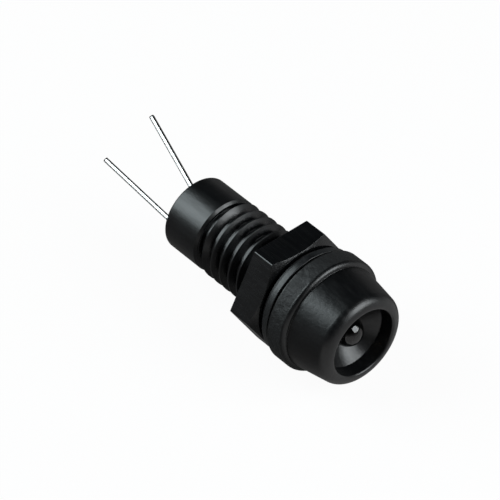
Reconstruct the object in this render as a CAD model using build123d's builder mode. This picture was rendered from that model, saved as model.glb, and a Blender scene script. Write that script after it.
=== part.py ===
from build123d import *
from math import asin, atan2, cos, degrees, hypot, radians, sin, tan
import os

# Panel-mount indicator lamp: a small bullet-shaped lamp deep in a black moulded
# body, with a threaded barrel that goes through the panel and a nut behind it.
# Millimetres. The lamp's axis lies along Y and its front points to -Y. The origin
# is on the axis, on the rear face of the flange, the face that seats towards the
# panel. +Z is up.

# Body: flange, and the bezel with its rounded lip, short mouth and conical reflector
flange_w = 2.0
flange_t = 2.15
flange_round = 0.45
flange_ledge = 0.05
bezel_len = 4.6
bezel_draft = 9.0
lip_round = 1.1
lip_flat = 0.03
lip_edge = 0.22
mouth_depth = 1.45
mouth_draft = 5.0
reflector_slope = 42.0
reflector_ledge = 0.2
web_t = 1.7

# Body: barrel and its thread
thread_d = 8.0
thread_pitch = 1.25
thread_depth = 0.7
thread_angle = 60.0
thread_crest = 0.16
thread_runout = 0.8
thread_turn = -124.0
shank_len = 0.65
barrel_len = 12.9
barrel_chamfer = 0.35
lamp_room = 0.6

# Lamp: clear epoxy body with a flat on the cathode side of its flange
lens_d = 3.0
lens_len = 5.3
lens_flange_d = 3.8
lens_flange_t = 1.0
lens_flat = 0.25

# Lamp: two square leads with corners rounded by tinning, the cathode's with the cup
lead_w = 0.5
lead_round = 0.14
lead_pitch = 2.54
lead_turn = 30.0
foot_height = 0.35
shoulder_len = 0.55
shoulder_taper = 0.15
post_len = 1.9
post_half = 0.3
anode_post_in = 0.7
anode_post_w = 0.4
cup_d = 1.0
cup_base_d = 0.7
cup_len = 0.5
cup_depth = 0.28
cup_floor_d = 0.5
cup_wall = 0.08

# Lamp: chip and bond wire
chip_w = 0.26
chip_t = 0.12
wire_d = 0.04
wire_rise = 0.32
wire_bend = 0.28

# Leads behind the cap: each leaves its hole straight and bends in the pair's plane
cathode_run = 1.1
cathode_reach = 11.25
cathode_spread = 18.3
anode_run = 0.5
anode_jog = 1.4
anode_step = 0.82
anode_reach = 10.6
anode_lean = 3.9
bend_radius = 0.55

# Spacer and end cap behind the lamp
lead_hole_d = 0.8
cap_inset = 0.05
cap_len = 4.6
cap_round = 0.2
cap_chamfer = 0.25
spigot_len = 2.5

# Fittings on the barrel, from the flange rearwards
gasket_inset = 0.25
gasket_t = 0.46
washer_inset = 0.3
washer_t = 0.7
washer_edge = 0.1
lock_inset = 0.4
lock_rim = 0.55
lock_t = 0.4
lock_height = 0.68
lock_teeth = 10
lock_tooth_w = 1.3
lock_tooth_t = 0.3
nut_inset = 0.15
nut_t = 3.0
nut_turn = 1.8
nut_edge = 0.16
nut_face_inset = 0.1
nut_chamfer = 30.0
nut_countersink = 0.3

# Clearances
slip = 0.05
washer_gap = 0.2
thread_gap = 0.06

# Radii: the body's from the thread outwards and inwards, and the fittings' from the
# flange. A fillet takes up its radius times the tangent of half the turn it makes.
thread_r = thread_d / 2
bore_r = lens_flange_d / 2 + lamp_room
flange_r = thread_r + flange_w
bezel_r = flange_r - flange_round - flange_ledge
bezel_front_r = bezel_r - bezel_len * tan(radians(bezel_draft))
lip_w = lip_round * tan(radians(90 - bezel_draft) / 2)
lip_w += lip_edge * tan(radians(90 - mouth_draft) / 2) + lip_flat
mouth_r = bezel_front_r - lip_w
reflector_r = mouth_r - mouth_depth * tan(radians(mouth_draft))
lens_hole_r = lens_d / 2 + slip
reflector_end_r = lens_hole_r + reflector_ledge
cap_r = thread_r - cap_inset
washer_hole_r = thread_r + washer_gap
washer_r = flange_r - washer_inset
gasket_r = washer_r - gasket_inset
nut_r = washer_r - nut_inset
lock_r = nut_r - lock_inset
lead_offset = lead_pitch / 2

# Places along the axis, positive towards the front
front = flange_t + bezel_len
reflector_front = front - mouth_depth
well_floor = reflector_front - (reflector_r - reflector_end_r) / tan(radians(reflector_slope))
lamp_seat = well_floor - web_t
lamp_base = lamp_seat - lens_flange_t
foot_top = lamp_base + foot_height
post_top = foot_top + shoulder_len + post_len
cup_top = post_top + cup_len
cup_floor = cup_top - cup_depth
barrel_end = -barrel_len
spigot_end = barrel_end + spigot_len
cap_end = barrel_end - cap_len
washer_front = -gasket_t
washer_rear = washer_front - washer_t
nut_front = washer_rear - lock_height
nut_rear = nut_front - nut_t
thread_start = barrel_end - thread_pitch

flank = tan(radians(thread_angle / 2))

# The half plane through the axis: its x runs towards the front, its y outwards
side = Plane(origin=(0, 0, 0), x_dir=(0, -1, 0), z_dir=(-1, 0, 0))

# The plane through both leads, turned about the axis
turn = radians(lead_turn)
lead_side = Plane(origin=(0, 0, 0), x_dir=(0, -1, 0), z_dir=(-sin(turn), 0, cos(turn)))


def across(place, angle=0.0):
    """Plane square to the axis at a place along it, facing the front."""
    spin = radians(angle)
    return Plane(origin=(0, -place, 0), x_dir=(cos(spin), 0, sin(spin)), z_dir=(0, -1, 0))


def rims(part, place, radius):
    """Circular edges about the axis at one place along it, of one radius."""
    circles = part.edges().filter_by(GeomType.CIRCLE)
    level = circles.filter_by(lambda e: abs(e.arc_center.Y + place) < 1e-4)
    return level.filter_by(lambda e: abs(e.radius - radius) < 1e-4)


def thread_groove(start, length):
    """Right-hand helical groove with sloping flanks, as a solid to cut away.

    Where they meet the surface its flanks leave a land of the crest's width between
    the turns, and they run on past it, short of where the turns would touch.
    """
    half_surface = (thread_pitch - thread_crest) / 2
    half_bottom = half_surface - thread_depth * flank
    beyond = thread_runout * thread_crest / 2 / flank
    height = thread_depth + beyond
    half_top = half_surface + beyond * flank
    with BuildPart() as groove:
        with BuildLine() as path:
            Helix(
                thread_pitch,
                length,
                thread_r - thread_depth,
                center=(0, -start, 0),
                direction=(0, -1, 0),
            )
        first = path.line @ 0
        outward = Vector(first.X, 0, first.Z).normalized()
        forward = Vector(0, -1, 0)
        with BuildSketch(Plane(origin=first, x_dir=forward, z_dir=forward.cross(outward))):
            with BuildLine():
                Polyline(
                    (-half_bottom, 0),
                    (half_bottom, 0),
                    (half_top, height),
                    (-half_top, height),
                    close=True,
                )
            make_face()
        sweep(path=path.line, is_frenet=True)
    return groove.part


def lead_leg(route, offset):
    """Square lead that follows a route in the leads' plane from inside the lamp."""
    with BuildPart() as leg:
        with BuildLine(lead_side) as path:
            FilletPolyline(*route, radius=bend_radius)
        with BuildSketch(across(foot_top, lead_turn)):
            with Locations((offset, 0)):
                RectangleRounded(lead_w, lead_w, lead_round)
        sweep(path=path.line)
    return leg.part


# Body: one black moulding from the lip to the end of the barrel
body_groove = thread_groove(thread_start, -shank_len - thread_start)
with BuildPart() as body:
    with BuildSketch(side):
        with BuildLine():
            Polyline(
                (barrel_end, bore_r),
                (barrel_end, thread_r),
                (0, thread_r),
                (0, flange_r),
                (flange_t, flange_r),
                (flange_t, bezel_r),
                (front, bezel_front_r),
                (front, mouth_r),
                (reflector_front, reflector_r),
                (well_floor, reflector_end_r),
                (well_floor, lens_hole_r),
                (lamp_seat, lens_hole_r),
                (lamp_seat, bore_r),
                close=True,
            )
        make_face()
    revolve(axis=Axis.Y)
    fillet(rims(body, front, bezel_front_r), lip_round)
    fillet(rims(body, front, mouth_r), lip_edge)
    fillet(rims(body, flange_t, flange_r), flange_round)
    chamfer(rims(body, barrel_end, thread_r), barrel_chamfer)
    add(body_groove, mode=Mode.SUBTRACT)
with BuildPart() as housing:
    add(body.part, rotation=(0, thread_turn, 0))
housing.part.label = "housing"

# Cathode lead: leg, shoulder and post stamped in one, with the reflector cup on top
cathode_knee = cap_end - cathode_run
cathode_tip = (
    cathode_knee - cathode_reach * cos(radians(cathode_spread)),
    lead_offset + cathode_reach * sin(radians(cathode_spread)),
)
cathode_leg = lead_leg(
    [(foot_top, lead_offset), (cathode_knee, lead_offset), cathode_tip],
    lead_offset,
)
with BuildPart() as cathode_lead:
    add(cathode_leg)
    with BuildSketch(lead_side):
        with BuildLine():
            Polyline(
                (foot_top, lead_offset - lead_w / 2),
                (foot_top, lead_offset + lead_w / 2),
                (foot_top + shoulder_len, lead_offset + lead_w / 2 - shoulder_taper),
                (post_top, post_half),
                (post_top, -post_half),
                (foot_top + shoulder_len, 0),
                close=True,
            )
        make_face()
    extrude(amount=lead_w / 2, both=True)
    with BuildSketch(side):
        with BuildLine():
            Polyline(
                (post_top, 0),
                (post_top, cup_base_d / 2),
                (cup_top, cup_d / 2),
                (cup_top, cup_d / 2 - cup_wall),
                (cup_floor, cup_floor_d / 2),
                (cup_floor, 0),
                close=True,
            )
        make_face()
    revolve(axis=Axis.Y)
cathode_lead.part.label = "cathode_lead"

# Anode lead: leg, shoulder and the post that the bond wire ends on
anode_knee = cap_end - anode_run
anode_heel = (anode_knee - anode_jog, -lead_offset - anode_step)
anode_tip = (
    anode_heel[0] - anode_reach * cos(radians(anode_lean)),
    anode_heel[1] + anode_reach * sin(radians(anode_lean)),
)
anode_leg = lead_leg(
    [(foot_top, -lead_offset), (anode_knee, -lead_offset), anode_heel, anode_tip],
    -lead_offset,
)
with BuildPart() as anode_lead:
    add(anode_leg)
    with BuildSketch(lead_side):
        with BuildLine():
            Polyline(
                (foot_top, -lead_offset + lead_w / 2),
                (foot_top, -lead_offset - lead_w / 2),
                (foot_top + shoulder_len, -lead_offset - lead_w / 2 + shoulder_taper),
                (cup_top, -anode_post_in - anode_post_w),
                (cup_top, -anode_post_in),
                (foot_top + shoulder_len, -anode_post_in),
                close=True,
            )
        make_face()
    extrude(amount=lead_w / 2, both=True)
anode_lead.part.label = "anode_lead"

# Chip on the floor of the cup
with BuildPart() as led_chip:
    with BuildSketch(across(cup_floor, lead_turn)):
        Rectangle(chip_w, chip_w)
    extrude(amount=chip_t)
led_chip.part.label = "led_chip"

# Bond wire: one arch from the chip to the anode's post
chip_top = cup_floor + chip_t
wire_top = cup_top + wire_rise
wire_end = -anode_post_in - anode_post_w / 2
with BuildPart() as bond_wire:
    with BuildLine(lead_side) as wire_path:
        FilletPolyline(
            (chip_top, 0),
            (wire_top, 0),
            (wire_top, wire_end),
            (cup_top, wire_end),
            radius=wire_bend,
        )
    with BuildSketch(across(chip_top)):
        Circle(wire_d / 2)
    sweep(path=wire_path.line)
bond_wire.part.label = "bond_wire"

# Lens: clear epoxy cast round the lead frame, bullet-nosed, flanged at its base
lens_tip = lamp_base + lens_len
nose_start = lens_tip - lens_d / 2
with BuildPart() as led_lens:
    with BuildSketch(side):
        with BuildLine():
            Polyline(
                (nose_start, lens_d / 2),
                (lamp_seat, lens_d / 2),
                (lamp_seat, lens_flange_d / 2),
                (lamp_base, lens_flange_d / 2),
                (lamp_base, 0),
                (lens_tip, 0),
            )
            CenterArc((nose_start, 0), lens_d / 2, 0, 90)
        make_face()
    revolve(axis=Axis.Y)
    with BuildSketch(across(lamp_base, lead_turn)):
        with Locations((lens_flange_d / 2 - lens_flat, 0)):
            Rectangle(lens_flange_d, lens_flange_d, align=(Align.MIN, Align.CENTER))
    extrude(amount=lens_flange_t, mode=Mode.SUBTRACT)
    for embedded in (cathode_lead, anode_lead, led_chip, bond_wire):
        add(embedded.part, mode=Mode.SUBTRACT)
led_lens.part.label = "led_lens"

# Spacer: plain moulded tube between the lamp and the cap, with a bore for each lead
with BuildPart() as led_spacer:
    with BuildSketch(across(spigot_end, lead_turn)):
        Circle(bore_r - slip)
        with Locations((lead_offset, 0), (-lead_offset, 0)):
            Circle(lead_hole_d / 2, mode=Mode.SUBTRACT)
    extrude(amount=lamp_base - spigot_end)
led_spacer.part.label = "led_spacer"

# End cap: head as wide as the barrel, spigot pushed into its bore, a hole for each lead
with BuildPart() as end_cap:
    with BuildSketch(across(cap_end)):
        Circle(cap_r)
    extrude(amount=cap_len)
    with BuildSketch(across(barrel_end)):
        Circle(bore_r - slip)
    extrude(amount=spigot_len)
    fillet(rims(end_cap, cap_end, cap_r), cap_round)
    chamfer(rims(end_cap, barrel_end, cap_r), cap_chamfer)
    with BuildSketch(across(cap_end, lead_turn)):
        with Locations((lead_offset, 0), (-lead_offset, 0)):
            Circle(lead_hole_d / 2)
    extrude(amount=cap_len + spigot_len, mode=Mode.SUBTRACT)
end_cap.part.label = "end_cap"

# Gasket: flat rubber ring against the flange, close round the plain shank
with BuildPart() as gasket:
    with BuildSketch(across(washer_front)):
        Circle(gasket_r)
        Circle(thread_r + slip, mode=Mode.SUBTRACT)
    extrude(amount=gasket_t)
gasket.part.label = "gasket"

# Flat washer, tumbled edges
with BuildPart() as flat_washer:
    with BuildSketch(across(washer_rear)):
        Circle(washer_r)
        Circle(washer_hole_r, mode=Mode.SUBTRACT)
    extrude(amount=washer_t)
    outer_rims = rims(flat_washer, washer_rear, washer_r)
    fillet(outer_rims + rims(flat_washer, washer_front, washer_r), washer_edge)
flat_washer.part.label = "flat_washer"

# Lock washer: thin ring with twisted inner teeth that bear on both neighbours
lock_middle = (washer_rear + nut_front) / 2
lock_in_r = lock_r - lock_rim
tooth_len = lock_in_r - washer_hole_r + lock_rim / 2
tooth_corner = degrees(atan2(lock_tooth_t, lock_tooth_w))
tooth_tilt = degrees(asin(lock_height / hypot(lock_tooth_w, lock_tooth_t))) - tooth_corner
with BuildPart(across(lock_middle)) as lock_washer:
    with BuildSketch(across(lock_middle - lock_t / 2)):
        Circle(lock_r)
        Circle(lock_in_r, mode=Mode.SUBTRACT)
    extrude(amount=lock_t)
    with PolarLocations(washer_hole_r + tooth_len / 2, lock_teeth):
        Box(tooth_len, lock_tooth_w, lock_tooth_t, rotation=(tooth_tilt, 0, 0))
lock_washer.part.label = "lock_washer"

# Nut: hexagon, corners turned off at 30 degrees on the face towards the panel
nut_hole_r = thread_r + thread_gap
corner_r = nut_r / cos(radians(30))
nut_face_r = nut_r - nut_face_inset
corner_drop = (corner_r - nut_face_r) * tan(radians(nut_chamfer))
with BuildPart() as hex_nut:
    with BuildSketch(across(nut_rear)):
        hexagon = RegularPolygon(nut_r, 6, major_radius=False, rotation=nut_turn)
        fillet(hexagon.vertices(), nut_edge)
        Circle(nut_hole_r, mode=Mode.SUBTRACT)
    extrude(amount=nut_t)
    with BuildSketch(side):
        with BuildLine():
            Polyline(
                (nut_front, nut_face_r),
                (nut_front, corner_r),
                (nut_front - corner_drop, corner_r),
                close=True,
            )
        make_face()
    revolve(axis=Axis.Y, mode=Mode.SUBTRACT)
    chamfer(rims(hex_nut, nut_front, nut_hole_r), nut_countersink)
    chamfer(rims(hex_nut, nut_rear, nut_hole_r), nut_countersink)
hex_nut.part.label = "hex_nut"

pieces = [
    housing,
    led_lens,
    led_chip,
    bond_wire,
    cathode_lead,
    anode_lead,
    led_spacer,
    end_cap,
    gasket,
    flat_washer,
    lock_washer,
    hex_nut,
]
os.makedirs("parts", exist_ok=True)
for piece in pieces:
    export_step(piece.part, f"parts/{piece.part.label}.step")
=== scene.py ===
import math

import bmesh
import bpy
from mathutils import Matrix, Vector


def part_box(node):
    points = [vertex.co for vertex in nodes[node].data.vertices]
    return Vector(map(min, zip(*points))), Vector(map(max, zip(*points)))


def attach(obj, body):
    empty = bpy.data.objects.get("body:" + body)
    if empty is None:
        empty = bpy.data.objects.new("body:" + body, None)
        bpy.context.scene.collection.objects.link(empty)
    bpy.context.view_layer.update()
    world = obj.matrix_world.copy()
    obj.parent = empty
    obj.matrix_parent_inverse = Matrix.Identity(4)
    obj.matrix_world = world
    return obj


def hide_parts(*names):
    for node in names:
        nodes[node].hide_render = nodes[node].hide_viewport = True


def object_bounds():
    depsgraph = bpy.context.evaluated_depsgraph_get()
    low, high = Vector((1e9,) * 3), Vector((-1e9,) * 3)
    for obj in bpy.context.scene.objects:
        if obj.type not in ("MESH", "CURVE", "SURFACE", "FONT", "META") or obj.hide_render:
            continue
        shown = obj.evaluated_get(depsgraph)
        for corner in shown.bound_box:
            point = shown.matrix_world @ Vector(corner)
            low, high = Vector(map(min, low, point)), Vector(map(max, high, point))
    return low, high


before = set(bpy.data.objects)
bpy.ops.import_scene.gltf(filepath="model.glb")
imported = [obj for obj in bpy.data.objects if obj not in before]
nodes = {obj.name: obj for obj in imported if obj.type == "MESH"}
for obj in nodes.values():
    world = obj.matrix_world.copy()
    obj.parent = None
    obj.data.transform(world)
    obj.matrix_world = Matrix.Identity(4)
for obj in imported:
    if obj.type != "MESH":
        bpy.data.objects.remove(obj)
cad_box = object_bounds()

# Housing: one injection moulding in black glass-filled plastic, from the rounded
# lip to the end of the threaded barrel. The tool's satin leaves it with a fine
# grain, flow lines along the draw and a few rubbed places.
MM = 0.001
BLACK = (0.0012, 0.0014, 0.0017)
RUBBED_BLACK = (0.0028, 0.0031, 0.0036)
# Paler edges on the plastics: partly rubbed skin, partly a painted highlight along the
# edges.
EDGE_WEAR_AND_PAINTED_HIGHLIGHT = 4.5
GROOVE_REACH_MM = 0.8
GROOVE_POLISH = -0.2
BAND_DULLNESS = 0.3
BAND_GRAIN_MM = 0.08
FLANGE_BAND_MM = (-1.75, -0.02, 0.12)


def new_material(name):
    """An empty node material with one Principled shader on its output."""
    material = bpy.data.materials.new(name)
    material.use_nodes = True
    tree = material.node_tree
    tree.nodes.clear()
    output = tree.nodes.new("ShaderNodeOutputMaterial")
    shader = tree.nodes.new("ShaderNodeBsdfPrincipled")
    tree.links.new(shader.outputs["BSDF"], output.inputs["Surface"])
    return material, tree, shader


def dress(tree, shader, colour, gloss, normal=None):
    """Links a colour, a roughness and, where there is one, a normal to a shader."""
    tree.links.new(colour, shader.inputs["Base Color"])
    tree.links.new(gloss, shader.inputs["Roughness"])
    if normal is not None:
        tree.links.new(normal, shader.inputs["Normal"])


def object_point(tree, stretch=(1, 1, 1), about=(0, 0, 0)):
    """Object coordinates in millimetres, centred on a point and stretched."""
    place = tree.nodes.new("ShaderNodeTexCoord")
    mapping = tree.nodes.new("ShaderNodeMapping")
    mapping.inputs["Scale"].default_value = [s / MM for s in stretch]
    mapping.inputs["Location"].default_value = [-a * s for a, s in zip(about, stretch)]
    tree.links.new(place.outputs["Object"], mapping.inputs["Vector"])
    return mapping.outputs["Vector"]


def noise(tree, point, per_mm, detail=4.0):
    """Fractal noise with features of about one over per_mm millimetres."""
    node = tree.nodes.new("ShaderNodeTexNoise")
    node.inputs["Scale"].default_value = per_mm
    node.inputs["Detail"].default_value = detail
    node.inputs["Roughness"].default_value = 0.55
    tree.links.new(point, node.inputs["Vector"])
    return node.outputs["Fac"]


def spread(tree, value, low, high, to_low=0.0, to_high=1.0):
    """A value between two limits mapped onto two others, and held there."""
    node = tree.nodes.new("ShaderNodeMapRange")
    node.inputs["From Min"].default_value = low
    node.inputs["From Max"].default_value = high
    node.inputs["To Min"].default_value = to_low
    node.inputs["To Max"].default_value = to_high
    tree.links.new(value, node.inputs["Value"])
    return node.outputs["Result"]


def maths(tree, operation, *values, kind="ShaderNodeMath"):
    """Result of a Math or Vector Math node on plain values or other nodes' outputs."""
    node = tree.nodes.new(kind)
    node.operation = operation
    for value, socket in zip(values, node.inputs):
        if isinstance(value, bpy.types.NodeSocket):
            tree.links.new(value, socket)
        else:
            socket.default_value = value
    return node.outputs[0]


def add_share(tree, share, most, value):
    """A value with up to the most added to it, by a share."""
    return maths(tree, "MULTIPLY_ADD", share, most, value)


def blend_colours(tree, share, first, second):
    """Colour between two colours, or colour outputs, by a share."""
    node = tree.nodes.new("ShaderNodeMix")
    node.data_type = "RGBA"
    tree.links.new(share, node.inputs["Factor"])
    for socket, colour in ((node.inputs["A"], first), (node.inputs["B"], second)):
        if isinstance(colour, bpy.types.NodeSocket):
            tree.links.new(colour, socket)
        else:
            socket.default_value = (*colour, 1.0)
    return node.outputs["Result"]


def times(colour, by):
    """A plain colour made paler or darker."""
    return [by * part for part in colour]


def bump(tree, height, depth_mm, under=None):
    """Normal of a surface raised by a height from 0 to 1, over any bump under it."""
    node = tree.nodes.new("ShaderNodeBump")
    node.inputs["Distance"].default_value = depth_mm * MM
    tree.links.new(height, node.inputs["Height"])
    if under is not None:
        tree.links.new(under, node.inputs["Normal"])
    return node.outputs["Normal"]


def rounded_edges(tree, radius_mm, samples=6):
    """Normal of the surface with its sharp edges rounded over."""
    bevel = tree.nodes.new("ShaderNodeBevel")
    bevel.samples = samples
    bevel.inputs["Radius"].default_value = radius_mm * MM
    return bevel.outputs["Normal"]


def surface_near(tree, reach_mm, inside, low, high):
    """Share of 0 to 1 by how much surface lies within reach of a place.

    Looking inside finds the sharp outer edges, and looking outside the grooves.
    """
    near = tree.nodes.new("ShaderNodeAmbientOcclusion")
    near.inside = inside
    near.samples = 8
    near.only_local = inside
    near.inputs["Distance"].default_value = reach_mm * MM
    return spread(tree, near.outputs["AO"], high, low)


def rubbed_and_highlit_edges(tree):
    """Share of 0 to 1 at the sharp outer edges, where the skin is rubbed and, on the
    plastics, a highlight is painted.
    """
    return surface_near(tree, reach_mm=0.1, inside=True, low=0.25, high=0.6)


def band_along(tree, point, start, end, soft):
    """Share of 0 to 1 between two places along the axis, in millimetres."""
    parts = tree.nodes.new("ShaderNodeSeparateXYZ")
    tree.links.new(point, parts.inputs["Vector"])
    after = spread(tree, parts.outputs["Y"], start, start + soft, 0.0, 1.0)
    before = spread(tree, parts.outputs["Y"], end - soft, end, 1.0, 0.0)
    return maths(tree, "MULTIPLY", after, before)


def moulded_plastic(name, dark, pale, satin, edge_mm, seed=0.0, grained=None):
    """Black moulded plastic: dark skin, paler at rubbed edges with a painted highlight,
    glossier in grooves.

    Where a stretch along the axis is given as grained, a coarse spark grain is on it.
    """
    material, tree, shader = new_material(name)
    point = object_point(tree, about=(seed, seed, seed))
    drawn = object_point(tree, stretch=(1, 0.12, 1), about=(seed, 0, 0))
    clouds = spread(tree, noise(tree, point, per_mm=0.35, detail=5.0), 0.35, 0.7)
    streaks = spread(tree, noise(tree, drawn, per_mm=2.5, detail=3.0), 0.4, 0.75)
    skin = blend_colours(tree, clouds, dark, pale)
    # Edges painted paler: partly rubbing, partly a painted highlight.
    colour = blend_colours(tree, rubbed_and_highlit_edges(tree), skin, times(pale, EDGE_WEAR_AND_PAINTED_HIGHLIGHT))
    skin_gloss = spread(tree, streaks, 0.0, 1.0, satin - 0.04, satin + 0.07)
    sheltered = surface_near(tree, GROOVE_REACH_MM, inside=False, low=0.5, high=0.9)
    gloss = add_share(tree, sheltered, GROOVE_POLISH, skin_gloss)
    waves = noise(tree, point, per_mm=2.2, detail=3.0)
    surface = bump(tree, waves, depth_mm=0.014, under=rounded_edges(tree, edge_mm))
    if grained:
        band = band_along(tree, object_point(tree), *grained)
        gloss = add_share(tree, band, BAND_DULLNESS, gloss)
        grain = noise(tree, point, per_mm=1.3, detail=3.0)
        coarse = spread(tree, grain, 0.3, 0.7, -0.5, 0.5)
        held = maths(tree, "MULTIPLY", coarse, band)
        surface = bump(tree, held, BAND_GRAIN_MM, under=surface)
    fine = noise(tree, point, per_mm=14.0, detail=2.0)
    surface = bump(tree, fine, depth_mm=0.006, under=surface)
    dress(tree, shader, colour, gloss, surface)
    return material


def finish_node(name, material):
    """Puts a material on a CAD node's every slot."""
    slots = nodes[name].material_slots
    for one in slots:
        one.material = material
    if not slots:
        nodes[name].data.materials.append(material)


finish_node(
    "housing",
    moulded_plastic(
        "housing_plastic",
        BLACK,
        RUBBED_BLACK,
        satin=0.34,
        edge_mm=0.07,
        grained=FLANGE_BAND_MM,
    ),
)

# Lead frame: two square leads stamped from steel strip, the cathode's with the
# silvered cup that the chip sits in. The tin they were dipped in is bright, rounds
# their corners and has fine lines along them and cloudy duller places.
TIN = (0.74, 0.74, 0.73)
DULL_TIN = times(TIN, 0.72)
TIN_CORNER_MM = 0.25
TIN_CORNER_SAMPLES = 16
TIN_CORNER_MORE = 1.6


def rounder(tree, rounded, more):
    """Rounded normal turned further off the flat face, by a multiple of its turn."""
    vectors = "ShaderNodeVectorMath"
    flat = tree.nodes.new("ShaderNodeNewGeometry").outputs["Normal"]
    turn = maths(tree, "SUBTRACT", rounded, flat, kind=vectors)
    further = maths(tree, "MULTIPLY_ADD", turn, (more, more, more), rounded, kind=vectors)
    return maths(tree, "NORMALIZE", further, kind=vectors)


def tinned_steel(name, seed):
    """Bright tin over steel, thick at the corners, with drawn lines and dull places."""
    material, tree, shader = new_material(name)
    point = object_point(tree, about=(seed, 0, seed))
    drawn = object_point(tree, stretch=(1, 0.05, 1), about=(seed, 0, 0))
    dull = spread(tree, noise(tree, point, per_mm=1.1, detail=5.0), 0.42, 0.68)
    corners = rounded_edges(tree, TIN_CORNER_MM, TIN_CORNER_SAMPLES)
    thick_tin = rounder(tree, corners, TIN_CORNER_MORE)
    lines = noise(tree, drawn, per_mm=7.0, detail=2.0)
    colour = blend_colours(tree, dull, TIN, DULL_TIN)
    gloss = spread(tree, dull, 0.0, 1.0, 0.12, 0.27)
    surface = bump(tree, lines, depth_mm=0.001, under=thick_tin)
    dress(tree, shader, colour, gloss, surface)
    shader.inputs["Metallic"].default_value = 1.0
    return material


finish_node("cathode_lead", tinned_steel("cathode_tin", seed=0.0))
finish_node("anode_lead", tinned_steel("anode_tin", seed=7.0))

# Chip and bond wire: a sawn die glued in the cup, and a gold wire welded over to
# the other post. Both are sealed in the lens.
DIE = (0.16, 0.12, 0.05)
SAWN_DIE = (0.42, 0.36, 0.2)
GOLD = (0.95, 0.66, 0.25)
DRAWN_GOLD = (0.82, 0.55, 0.2)


def die_material():
    """Dark die with paler sawn specks."""
    material, tree, shader = new_material("die")
    share = noise(tree, object_point(tree), per_mm=18.0, detail=3.0)
    gloss = spread(tree, share, 0.3, 0.7, 0.25, 0.45)
    dress(tree, shader, blend_colours(tree, share, DIE, SAWN_DIE), gloss)
    return material


def gold_material():
    """Bright gold wire with a faint drawn variation."""
    material, tree, shader = new_material("gold")
    share = noise(tree, object_point(tree), per_mm=9.0, detail=2.0)
    gloss = spread(tree, share, 0.3, 0.7, 0.16, 0.3)
    dress(tree, shader, blend_colours(tree, share, GOLD, DRAWN_GOLD), gloss)
    shader.inputs["Metallic"].default_value = 1.0
    return material


finish_node("led_chip", die_material())
finish_node("bond_wire", gold_material())

# Lens: water-clear epoxy cast round the lead frame in one pour, bullet-nosed, with
# a flange at its base that has a flat on the cathode's side.
LENS_R = 1.5 * MM
LENS_FLANGE_R = 1.9 * MM
LENS_FLANGE_T = 1.0 * MM
LENS_FLAT = 0.25 * MM
LEAD_TURN = math.radians(30)
LENS_SEGMENTS = 96
DOME_RINGS = 20
CLEAR = (0.93, 0.97, 0.98)
GREYED_CLEAR = (0.84, 0.9, 0.92)


def smooth_piece(bm, name):
    """A new shown object from a bmesh, smooth shaded."""
    bmesh.ops.remove_doubles(bm, verts=bm.verts, dist=1e-7)
    bmesh.ops.recalc_face_normals(bm, faces=bm.faces)
    mesh = bpy.data.meshes.new(name)
    bm.to_mesh(mesh)
    bm.free()
    mesh.shade_smooth()
    piece = bpy.data.objects.new(name, mesh)
    bpy.context.scene.collection.objects.link(piece)
    return piece


def turned(profile, segments):
    """Bmesh spun about the Y axis from (radius, y) points."""
    bm = bmesh.new()
    verts = [bm.verts.new((r, y, 0.0)) for r, y in profile]
    edges = [bm.edges.new(pair) for pair in zip(verts, verts[1:])]
    bmesh.ops.spin(
        bm,
        geom=verts + edges,
        cent=(0, 0, 0),
        axis=(0, 1, 0),
        angle=math.tau,
        steps=segments,
        use_merge=True,
    )
    return bm


def cut_off(bm, at, outwards):
    """Cuts a closed bmesh off beyond a plane, and closes it there."""
    bmesh.ops.bisect_plane(
        bm,
        geom=list(bm.verts) + list(bm.edges) + list(bm.faces),
        plane_co=at,
        plane_no=outwards,
        clear_outer=True,
    )
    bmesh.ops.holes_fill(bm, edges=[e for e in bm.edges if e.is_boundary])


def epoxy_material():
    """Clear cast epoxy, with a touch of grey and a barely uneven skin."""
    material, tree, shader = new_material("clear_epoxy")
    point = object_point(tree)
    tint = noise(tree, point, per_mm=1.2, detail=2.0)
    skin = noise(tree, point, per_mm=3.0, detail=2.0)
    waves = noise(tree, point, per_mm=1.6, detail=2.0)
    colour = blend_colours(tree, tint, CLEAR, GREYED_CLEAR)
    gloss = spread(tree, skin, 0.3, 0.7, 0.03, 0.09)
    dress(tree, shader, colour, gloss, bump(tree, waves, depth_mm=0.006))
    shader.inputs["IOR"].default_value = 1.54
    shader.inputs["Transmission Weight"].default_value = 1.0
    return material


lens_front, lens_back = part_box("led_lens")[0].y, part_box("led_lens")[1].y
dome_centre = lens_front + LENS_R
flange_front = lens_back - LENS_FLANGE_T
dome = [
    (LENS_R * math.sin(a), dome_centre - LENS_R * math.cos(a))
    for a in [math.pi / 2 * i / DOME_RINGS for i in range(DOME_RINGS + 1)]
]
lens_profile = dome + [
    (LENS_R, flange_front),
    (LENS_FLANGE_R, flange_front),
    (LENS_FLANGE_R, lens_back),
    (0.0, lens_back),
]
lens_mesh = turned(lens_profile, LENS_SEGMENTS)
flat_side = Vector((math.cos(LEAD_TURN), 0, math.sin(LEAD_TURN)))
cut_off(lens_mesh, flat_side * (LENS_FLANGE_R - LENS_FLAT), flat_side)
clear_lens = smooth_piece(lens_mesh, "clear_lens")
clear_lens.data.materials.append(epoxy_material())
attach(clear_lens, "root")
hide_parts("led_lens")

# Spacer: moulded tube with a bore for each lead, pushed in behind the lamp. It
# holds the lamp's flange against the web of the housing.
SPACER_BLACK = (0.02, 0.02, 0.021)
RUBBED_SPACER_BLACK = (0.03, 0.03, 0.032)
spacer_plastic = moulded_plastic(
    "spacer_plastic", SPACER_BLACK, RUBBED_SPACER_BLACK, satin=0.55, edge_mm=0.05, seed=5.0
)
finish_node("led_spacer", spacer_plastic)

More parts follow.
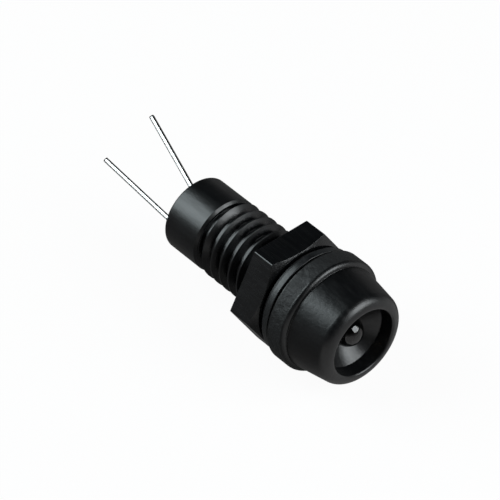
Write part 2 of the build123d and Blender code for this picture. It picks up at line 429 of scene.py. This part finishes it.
# End cap: the plain tail, moulded in the same black as the housing, its spigot
# glued into the barrel's bore, and a hole for each lead in its end.
cap_plastic = moulded_plastic(
    "cap_plastic", BLACK, RUBBED_BLACK, satin=0.34, edge_mm=0.05, seed=11.0
)
finish_node("end_cap", cap_plastic)

# Gasket: flat ring punched from black rubber sheet, with a dull skin and a cut edge.
# It lies behind the flange and seals the panel's hole.
RUBBER = (0.009, 0.009, 0.0095)
BLOOMED_RUBBER = (0.02, 0.02, 0.021)


def rubber_material():
    """Dull black rubber with a fine leathery skin."""
    material, tree, shader = new_material("gasket_rubber")
    point = object_point(tree)
    bloom = spread(tree, noise(tree, point, per_mm=1.5, detail=5.0), 0.35, 0.7)
    colour = blend_colours(tree, bloom, RUBBER, BLOOMED_RUBBER)
    gloss = spread(tree, bloom, 0.0, 1.0, 0.62, 0.8)
    leather = noise(tree, point, per_mm=8.0)
    dress(tree, shader, colour, gloss, bump(tree, leather, depth_mm=0.02))
    return material


finish_node("gasket", rubber_material())

# Washers: a flat washer and an internal-tooth lock washer, stamped from steel and
# blackened. The flat one is tumbled, so its corners are round and slightly paler.
WASHER_BLACK = (0.004, 0.0045, 0.005)
SCUFFED_WASHER_BLACK = (0.010, 0.011, 0.012)
LOCK_WASHER_BLACK = (0.003, 0.003, 0.0035)
SCUFFED_LOCK_WASHER_BLACK = (0.008, 0.008, 0.009)
WORN_STEEL = 2.5
WASHER_SATIN = 0.38
WASHER_EDGE_MM = 0.06


def blackened_steel(name, dark, pale, seed):
    """Black-finished steel: dark cloudy film, scuffed to grey at the edges."""
    material, tree, shader = new_material(name)
    point = object_point(tree, about=(seed, seed, 0))
    clouds = spread(tree, noise(tree, point, per_mm=0.9, detail=6.0), 0.35, 0.7)
    film = blend_colours(tree, clouds, dark, pale)
    colour = blend_colours(tree, rubbed_and_highlit_edges(tree), film, times(pale, WORN_STEEL))
    gloss = spread(tree, clouds, 0.0, 1.0, WASHER_SATIN - 0.05, WASHER_SATIN + 0.1)
    pits = noise(tree, point, per_mm=6.0)
    surface = bump(tree, pits, depth_mm=0.01, under=rounded_edges(tree, WASHER_EDGE_MM))
    dress(tree, shader, colour, gloss, surface)
    return material


washer_steel = blackened_steel("washer_black", WASHER_BLACK, SCUFFED_WASHER_BLACK, seed=0.0)
lock_washer_steel = blackened_steel(
    "lock_washer_black", LOCK_WASHER_BLACK, SCUFFED_LOCK_WASHER_BLACK, seed=3.0
)
finish_node("flat_washer", washer_steel)
finish_node("lock_washer", lock_washer_steel)

# Nut: hexagon nut moulded in the same black plastic, its corners turned off on the
# face towards the panel.
nut_plastic = moulded_plastic(
    "nut_plastic", BLACK, RUBBED_BLACK, satin=0.26, edge_mm=0.05, seed=17.0
)
finish_node("hex_nut", nut_plastic)

# Nut's thread: the ridge inside its bore, moulded in one with the nut. It runs in the
# barrel's groove, midway between the barrel's crests and with a little play, and stops
# short of both faces of the nut.
PITCH = 1.25 * MM
CREST_AT_TOP = 0.831 * MM
RIDGE_IN_R = 3.42 * MM
RIDGE_OUT_R = 4.1 * MM
RIDGE_IN_HALF = 0.15 * MM
RIDGE_OUT_HALF = 0.53 * MM
NUT_LEAD_IN = 0.3 * MM
STEPS_A_TURN = 72
SHARP_RIDGE = math.radians(30)


def helical_ridge(start_y, turns):
    """Bmesh of a ridge that winds right-handed from the top, with growing y."""
    bm = bmesh.new()
    corners = [
        bm.verts.new((0, start_y + half, radius))
        for radius, half in (
            (RIDGE_OUT_R, -RIDGE_OUT_HALF),
            (RIDGE_IN_R, -RIDGE_IN_HALF),
            (RIDGE_IN_R, RIDGE_IN_HALF),
            (RIDGE_OUT_R, RIDGE_OUT_HALF),
        )
    ]
    section = bm.faces.new(corners)
    bmesh.ops.spin(
        bm,
        geom=[section] + list(section.edges) + corners,
        cent=(0, 0, 0),
        axis=(0, 1, 0),
        dvec=(0, PITCH / STEPS_A_TURN, 0),
        angle=math.tau * turns,
        steps=round(STEPS_A_TURN * turns),
    )
    return bm


nut_front, nut_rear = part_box("hex_nut")[0].y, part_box("hex_nut")[1].y
turns_before = math.floor((nut_front - PITCH - CREST_AT_TOP) / PITCH)
ridge_start = CREST_AT_TOP + (turns_before + 0.5) * PITCH
ridge_turns = math.ceil((nut_rear + PITCH - ridge_start) / PITCH)
ridge = helical_ridge(ridge_start, ridge_turns)
cut_off(ridge, (0, nut_front + NUT_LEAD_IN, 0), (0, -1, 0))
cut_off(ridge, (0, nut_rear - NUT_LEAD_IN, 0), (0, 1, 0))
nut_thread = smooth_piece(ridge, "nut_thread")
nut_thread.data.set_sharp_from_angle(angle=SHARP_RIDGE)
nut_thread.data.materials.append(nut_plastic)
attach(nut_thread, "root")

# Stage: a plain pale table under the part, white to the camera and through the lens,
# with the part's soft shadow. In reflections it glows instead: a painted pool of light
# in front of the mouth, where the front lamp is, and painted shade beside and behind it.
TABLE_HALF = 0.6
TABLE_WHITE = (0.8, 0.8, 0.8, 1.0)
PLAIN_WHITE = 1.0
PAINTED_TABLE_LIGHT_IN_FRONT = 0.58
PAINTED_TABLE_SHADE_BESIDE = 0.13
FRONT_ENDS_MM = (-10.0, -3.0)
TABLE_GLOW_SHARE = 0.95


def seen_clearly(tree):
    """The node of each ray's kind, and 1 for rays from the camera or through glass."""
    ray = tree.nodes.new("ShaderNodeLightPath")
    from_camera = ray.outputs["Is Camera Ray"]
    clear = maths(tree, "MAXIMUM", from_camera, ray.outputs["Is Transmission Ray"])
    return ray, clear


def table_material():
    """Matt white table that shows plain white, and in reflections a painted glow, lit in
    front and shaded beside.
    """
    material, tree, shader = new_material("white_table")
    shader.inputs["Base Color"].default_value = TABLE_WHITE
    shader.inputs["Roughness"].default_value = 0.9
    shader.inputs["Specular IOR Level"].default_value = 0.0
    place = tree.nodes.new("ShaderNodeSeparateXYZ")
    tree.links.new(object_point(tree), place.inputs["Vector"])
    # Painted light: in reflections the table glows brighter in front of the mouth, as if lit
    # by the front lamp, and dimmer beside and behind the part as painted shade.
    mirrored = spread(tree, place.outputs["Y"], *FRONT_ENDS_MM, PAINTED_TABLE_LIGHT_IN_FRONT, PAINTED_TABLE_SHADE_BESIDE)
    ray, clear = seen_clearly(tree)
    strength = tree.nodes.new("ShaderNodeMix")
    tree.links.new(ray.outputs["Is Glossy Ray"], strength.inputs["Factor"])
    strength.inputs["A"].default_value = PLAIN_WHITE
    tree.links.new(mirrored, strength.inputs["B"])
    glow = tree.nodes.new("ShaderNodeEmission")
    tree.links.new(strength.outputs["Result"], glow.inputs["Strength"])
    glow_share = add_share(tree, clear, TABLE_GLOW_SHARE, ray.outputs["Is Glossy Ray"])
    both = tree.nodes.new("ShaderNodeMixShader")
    tree.links.new(glow_share, both.inputs["Fac"])
    tree.links.new(shader.outputs["BSDF"], both.inputs[1])
    tree.links.new(glow.outputs["Emission"], both.inputs[2])
    output = next(n for n in tree.nodes if n.type == "OUTPUT_MATERIAL")
    tree.links.new(both.outputs["Shader"], output.inputs["Surface"])
    return material


table_mesh = bmesh.new()
bmesh.ops.create_grid(table_mesh, x_segments=1, y_segments=1, size=TABLE_HALF)
bmesh.ops.translate(table_mesh, verts=table_mesh.verts, vec=(0, 0, cad_box[0].z))
table = smooth_piece(table_mesh, "table")
table.data.materials.append(table_material())

# Lights: one large soft box high behind the tail for the broad sheen along the barrel
# and the cone, another in front for the lip and the well. The room is dim, white to
# the camera and through the lens, and in reflections pale low down and dark above.
MIDDLE = Vector((0, 0.008, 0))
DIM_ROOM = 0.01
ROOM_AT_HORIZON = 0.25
ROOM_ABOVE = 0.01
DARK_FROM_HEIGHT = 0.4


def soft_box(name, towards, away, width, height, watts, colour):
    """Area lamp in a direction from the part, facing it."""
    lamp = bpy.data.lights.new(name, "AREA")
    lamp.shape = "RECTANGLE"
    lamp.size = width
    lamp.size_y = height
    lamp.energy = watts
    lamp.color = colour
    holder = bpy.data.objects.new(name, lamp)
    bpy.context.scene.collection.objects.link(holder)
    direction = Vector(towards).normalized()
    holder.location = MIDDLE + direction * away
    holder.rotation_euler = direction.to_track_quat("Z", "Y").to_euler()


def light_room(tree):
    """Sets the room's strength for each kind of ray on a world's own background."""
    direction = tree.nodes.new("ShaderNodeTexCoord")
    upwards = tree.nodes.new("ShaderNodeSeparateXYZ")
    tree.links.new(direction.outputs["Generated"], upwards.inputs["Vector"])
    height = upwards.outputs["Z"]
    pale = spread(tree, height, 0.0, DARK_FROM_HEIGHT, ROOM_AT_HORIZON, ROOM_ABOVE)
    ray, clear = seen_clearly(tree)
    mirrored = maths(tree, "MULTIPLY", ray.outputs["Is Glossy Ray"], pale)
    seen = maths(tree, "ADD", mirrored, clear)
    strength = spread(tree, seen, 0.0, 1.0, DIM_ROOM, PLAIN_WHITE)
    background = tree.nodes["Background"]
    background.inputs["Color"].default_value = (1, 1, 1, 1)
    tree.links.new(strength, background.inputs["Strength"])


soft_box(
    "key",
    towards=(-0.485, 0.570, 0.663),
    away=0.30,
    width=0.22,
    height=0.22,
    watts=0.85,
    colour=(0.86, 0.97, 1.0),
)
soft_box(
    "front",
    towards=(0.40, -0.75, 0.53),
    away=0.30,
    width=0.22,
    height=0.20,
    watts=0.92,
    colour=(0.93, 0.98, 1.0),
)

world = bpy.data.worlds.new("room")
world.use_nodes = True
light_room(world.node_tree)
bpy.context.scene.world = world
bpy.context.scene.view_settings.view_transform = "Standard"

# Camera: long lens, looking down on the part from its front left, so that the mouth
# comes towards it and the leads go off to the upper left.
AZIMUTH = math.radians(-40.44)
ELEVATION = math.radians(41.49)
DISTANCE = 0.300
LENS_MM = 231.44
SENSOR_MM = 36
NEAREST = 0.01
FARTHEST = 5
RIGHT_OF_ORIGIN = -6.148 * MM
ABOVE_ORIGIN = 5.216 * MM

right = Vector((math.cos(AZIMUTH), math.sin(AZIMUTH), 0))
back = Vector(
    (
        math.sin(AZIMUTH) * math.cos(ELEVATION),
        -math.cos(AZIMUTH) * math.cos(ELEVATION),
        math.sin(ELEVATION),
    )
)
up = back.cross(right)
camera_data = bpy.data.cameras.new("camera")
camera_data.lens = LENS_MM
camera_data.sensor_width = SENSOR_MM
camera_data.clip_start = NEAREST
camera_data.clip_end = FARTHEST
camera = bpy.data.objects.new("camera", camera_data)
camera.matrix_world = Matrix.Translation(
    right * RIGHT_OF_ORIGIN + up * ABOVE_ORIGIN + back * DISTANCE
) @ Matrix((right, up, back)).transposed().to_4x4()
bpy.context.scene.collection.objects.link(camera)
bpy.context.scene.camera = camera
